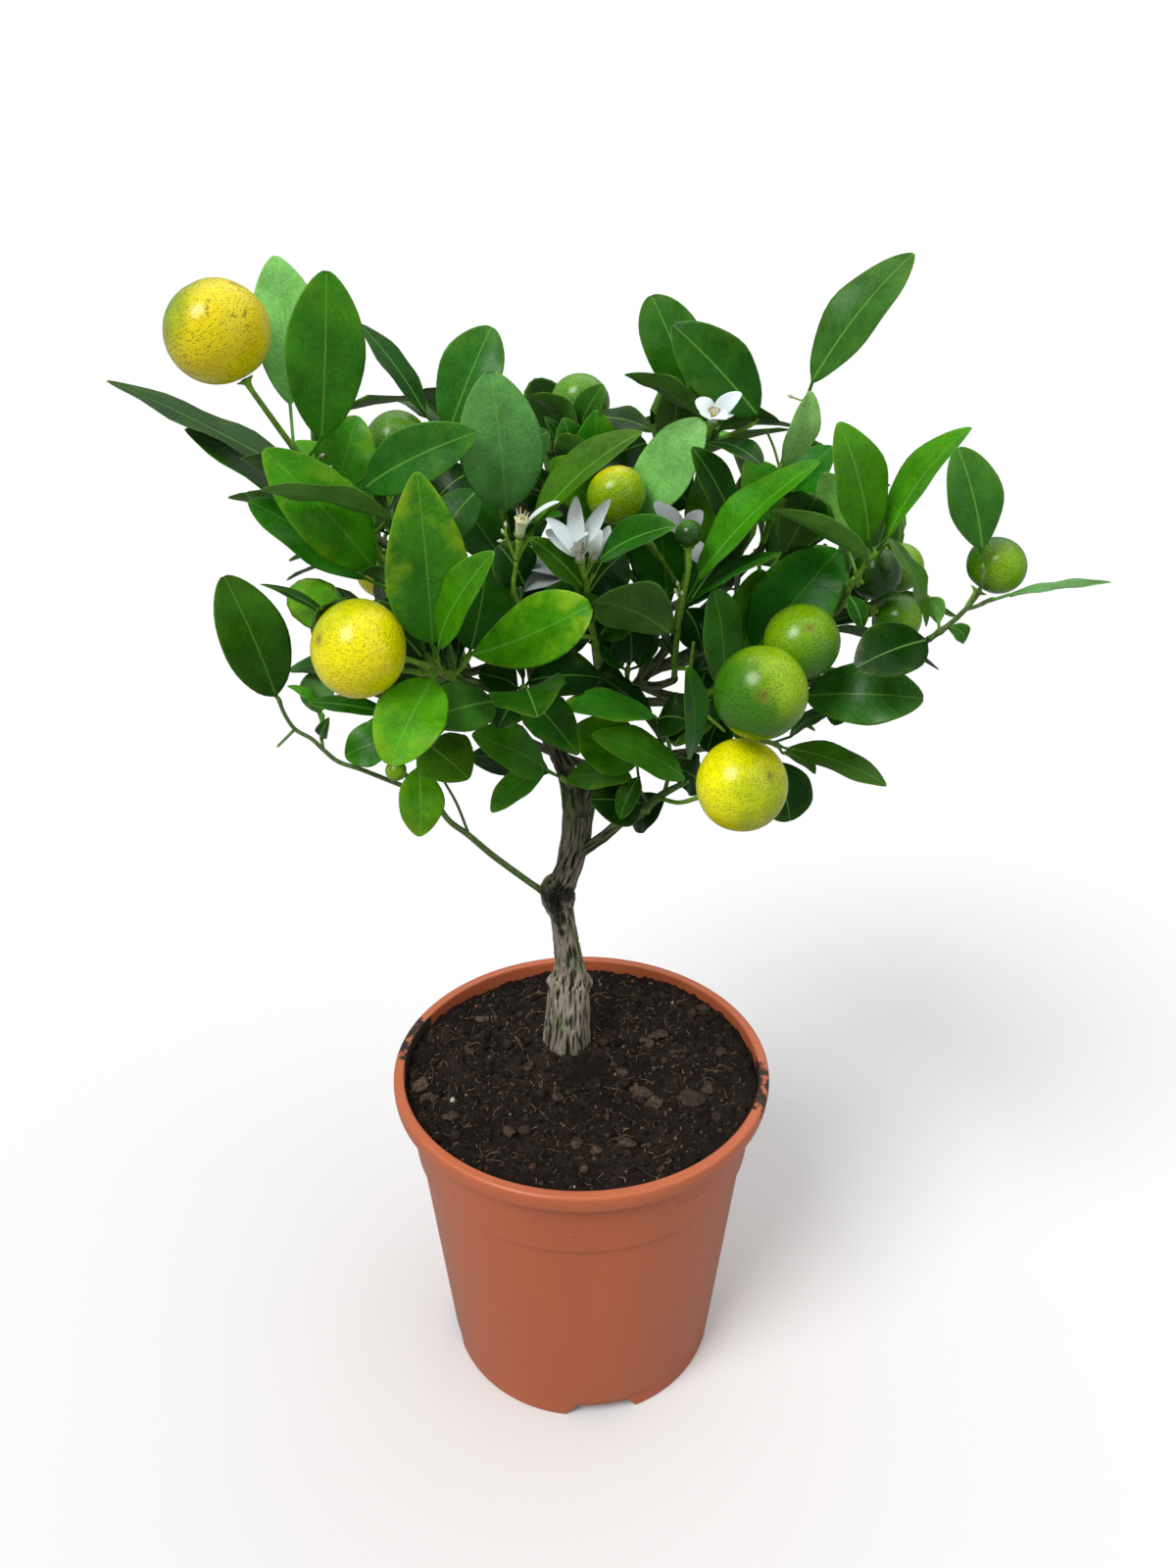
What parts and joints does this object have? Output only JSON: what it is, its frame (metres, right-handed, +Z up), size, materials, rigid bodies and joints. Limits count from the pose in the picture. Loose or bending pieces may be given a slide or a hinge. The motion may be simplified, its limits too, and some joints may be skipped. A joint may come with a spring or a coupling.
{
  "type": "potted citrus tree",
  "caption": "Small round-crowned citrus tree with ripening fruits and white blooms, standing in compost in a tapered plastic nursery pot.",
  "frame": {"origin": "on the pot's axis at the floor, under the middle of the object's box to within a few millimetres", "axes": "+Z up along the pot's axis and the tree's height; +X to the viewer's right in the picture; the picture's viewer stands on the -Y side"},
  "size_m": [0.3772, 0.2165, 0.548],
  "materials": {
    "pot": "satin terracotta colour",
    "soil": "dark fibrous compost",
    "bark": "ridged grey-brown bark",
    "leaf": "waxy green",
    "fruit": "glossy pored peel",
    "petal": "waxy white"
  },
  "bodies": {
    "root": {"bloom_centre_shaded": "petal", "bloom_front": "petal", "bloom_front_half_open": "petal", "bloom_front_shaded": "petal", "bloom_front_spent": "petal", "bloom_right_top": "petal", "fruit_back_left": "fruit", "fruit_back_right": "fruit", "fruit_centre": "fruit", "fruit_east_lower": "fruit", "fruit_east_outer": "fruit", "fruit_east_upper": "fruit", "fruit_far_east": "fruit", "fruit_front_left": "fruit", "fruit_low_right": "fruit", "fruit_north_centre": "fruit", "fruit_north_left": "fruit", "fruit_right_front": "fruit", "fruit_right_upper": "fruit", "fruit_west_top": "fruit", "fruitlet_centre": "fruit", "fruitlet_low_left": "fruit", "pot": "pot", "shoot_back_centre": "leaf", "shoot_back_left": "leaf", "shoot_back_low_left": "leaf", "shoot_back_low_right": "leaf", "shoot_back_right": "leaf", "shoot_centre_right": "leaf", "shoot_east": "leaf", "shoot_far_east": "leaf", "shoot_front_centre": "leaf", "shoot_front_left": "leaf", "shoot_front_low": "leaf", "shoot_front_right_up": "leaf", "shoot_inner": "leaf", "shoot_inner_centre": "leaf", "shoot_inner_left": "leaf", "shoot_inner_right": "leaf", "shoot_left_back": "leaf", "shoot_low_centre": "leaf", "shoot_low_left": "leaf", "shoot_low_right": "leaf", "shoot_north_centre": "leaf", "shoot_north_left": "leaf", "shoot_north_right": "leaf", "shoot_northeast": "leaf", "shoot_northwest": "leaf", "shoot_right_back": "leaf", "shoot_right_front": "leaf", "shoot_top_back_left": "leaf", "shoot_top_back_right": "leaf", "shoot_trunk_front": "leaf", "shoot_west": "leaf", "soil": "soil", "trunk": "bark"}
  },
  "joints": []
}
